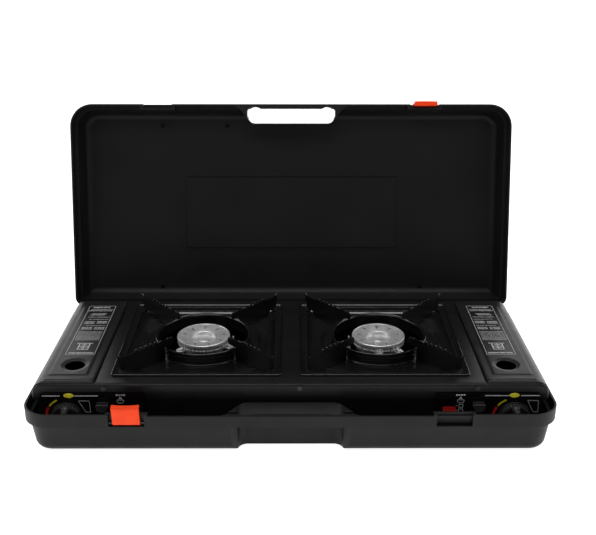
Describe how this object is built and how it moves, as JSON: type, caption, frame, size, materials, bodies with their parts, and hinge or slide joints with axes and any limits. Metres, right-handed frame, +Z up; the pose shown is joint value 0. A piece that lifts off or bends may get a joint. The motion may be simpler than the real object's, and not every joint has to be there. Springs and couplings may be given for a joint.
{
  "type": "camping stove",
  "caption": "Two-burner gas camping stove in a hinged black plastic carry case, with cartridge bays, lift-off pan supports, turning knobs, lock levers and snap latches.",
  "frame": {"origin": "centre of the case's flat underside", "axes": "+X to the right seen from the front, the front with the handle and knobs faces -Y, +Z up; the stove's long side lies along X"},
  "size_m": [0.652, 0.431, 0.3592],
  "materials": {
    "case_plastic": "satin, fine moulded grain",
    "latch_plastic": "semi-gloss orange",
    "steel": "plain zinc plated",
    "black_enamel": "gloss black enamel",
    "pan_enamel": "glossy vitreous enamel",
    "panel_gloss": "high gloss black",
    "knob_plastic": "satin black",
    "lever_steel": "dark plated",
    "bare_steel": "galvanised sheet",
    "burner_aluminium": "die-cast, lightly blasted",
    "zinc": "die-cast zinc alloy",
    "brass": "drawn",
    "ceramic": "glazed",
    "rubber": "matt",
    "print_white": "white print",
    "print_yellow": "yellow print",
    "print_red": "red print"
  },
  "bodies": {
    "case": {"case_base": "case_plastic", "hinge_pins": "steel", "base_latch_pin": "steel"},
    "lid": {"case_lid": "case_plastic", "lid_latch_pin": "steel"},
    "base_latch": {"base_latch": "latch_plastic"},
    "lid_latch": {"lid_latch": "latch_plastic"},
    "left_cover": {"left_cover": "black_enamel"},
    "left_pan": {"left_pan": "pan_enamel", "left_pan_fins": "pan_enamel"},
    "left_knob": {"left_knob": "knob_plastic", "left_valve_spindle": "steel"},
    "left_lever": {"left_lock_lever": "lever_steel"},
    "left_carriage": {"left_carriage": "bare_steel"},
    "right_cover": {"right_cover": "black_enamel"},
    "right_pan": {"right_pan": "pan_enamel", "right_pan_fins": "pan_enamel"},
    "right_knob": {"right_knob": "knob_plastic", "right_valve_spindle": "steel"},
    "right_lever": {"right_lock_lever": "lever_steel"},
    "right_carriage": {"right_carriage": "bare_steel"},
    "stove": {"body_tray": "black_enamel", "stove_feet": "rubber", "front_panel": "black_enamel", "stove_deck": "black_enamel", "panel_screws": "steel", "left_fascia": "panel_gloss", "left_heat_shield": "bare_steel", "left_cover_pins": "steel", "left_burner_cap": "burner_aluminium", "left_burner_bowl": "burner_aluminium", "left_mixing_tube": "bare_steel", "left_burner_bracket": "bare_steel", "left_gas_pipe": "brass", "left_regulator": "zinc", "left_piezo": "knob_plastic", "left_electrode": "ceramic", "left_ignition_lead": "rubber", "right_fascia": "panel_gloss", "right_heat_shield": "bare_steel", "right_cover_pins": "steel", "right_burner_cap": "burner_aluminium", "right_burner_bowl": "burner_aluminium", "right_mixing_tube": "bare_steel", "right_burner_bracket": "bare_steel", "right_gas_pipe": "brass", "right_regulator": "zinc", "right_piezo": "knob_plastic", "right_electrode": "ceramic", "right_ignition_lead": "rubber"}
  },
  "joints": [
    {"name": "lid_hinge", "type": "hinge", "parent": "case", "child": "lid", "pos_m": [0, 0.155, 0.05825], "axis": [-1, 0, 0], "range_deg": [-104.7, 0]},
    {"name": "base_latch_pivot", "type": "hinge", "parent": "case", "child": "base_latch", "pos_m": [-0.197, -0.1476, 0.046], "axis": [1, 0, 0], "range_deg": [-6, 70]},
    {"name": "lid_latch_pivot", "type": "hinge", "parent": "lid", "child": "lid_latch", "pos_m": [0.197, 0.24364, 0.34784], "axis": [-1, 0, 0], "range_deg": [-6, 70]},
    {"name": "stove_lift", "type": "slide", "parent": "case", "child": "stove", "axis": [0, 0, 1], "range_m": [0, 0.12]},
    {"name": "left_cover_hinge", "type": "hinge", "parent": "stove", "child": "left_cover", "pos_m": [-0.313, 0, 0.069], "axis": [0, -1, 0], "range_deg": [0, 95]},
    {"name": "left_knob_turn", "type": "hinge", "parent": "stove", "child": "left_knob", "pos_m": [-0.276, -0.12, 0.036], "axis": [0, -1, 0], "range_deg": [0, 135]},
    {"name": "left_lever_press", "type": "slide", "parent": "stove", "child": "left_lever", "axis": [0, 0, -1], "range_m": [0, 0.02]},
    {"name": "left_carriage_slide", "type": "slide", "parent": "stove", "child": "left_carriage", "axis": [0, -1, 0], "range_m": [0, 0.01]},
    {"name": "left_pan_lift", "type": "slide", "parent": "stove", "child": "left_pan", "axis": [0, 0, 1], "range_m": [0, 0.08]},
    {"name": "right_cover_hinge", "type": "hinge", "parent": "stove", "child": "right_cover", "pos_m": [0.313, 0, 0.069], "axis": [0, 1, 0], "range_deg": [0, 95]},
    {"name": "right_knob_turn", "type": "hinge", "parent": "stove", "child": "right_knob", "pos_m": [0.276, -0.12, 0.036], "axis": [0, -1, 0], "range_deg": [0, 135]},
    {"name": "right_lever_press", "type": "slide", "parent": "stove", "child": "right_lever", "axis": [0, 0, -1], "range_m": [0, 0.02]},
    {"name": "right_carriage_slide", "type": "slide", "parent": "stove", "child": "right_carriage", "axis": [0, -1, 0], "range_m": [0, 0.01]},
    {"name": "right_pan_lift", "type": "slide", "parent": "stove", "child": "right_pan", "axis": [0, 0, 1], "range_m": [0, 0.08]}
  ],
  "couplings": [
    {"joint": "left_carriage_slide", "follows": "left_lever_press", "ratio": 0.5},
    {"joint": "right_carriage_slide", "follows": "right_lever_press", "ratio": 0.5}
  ]
}
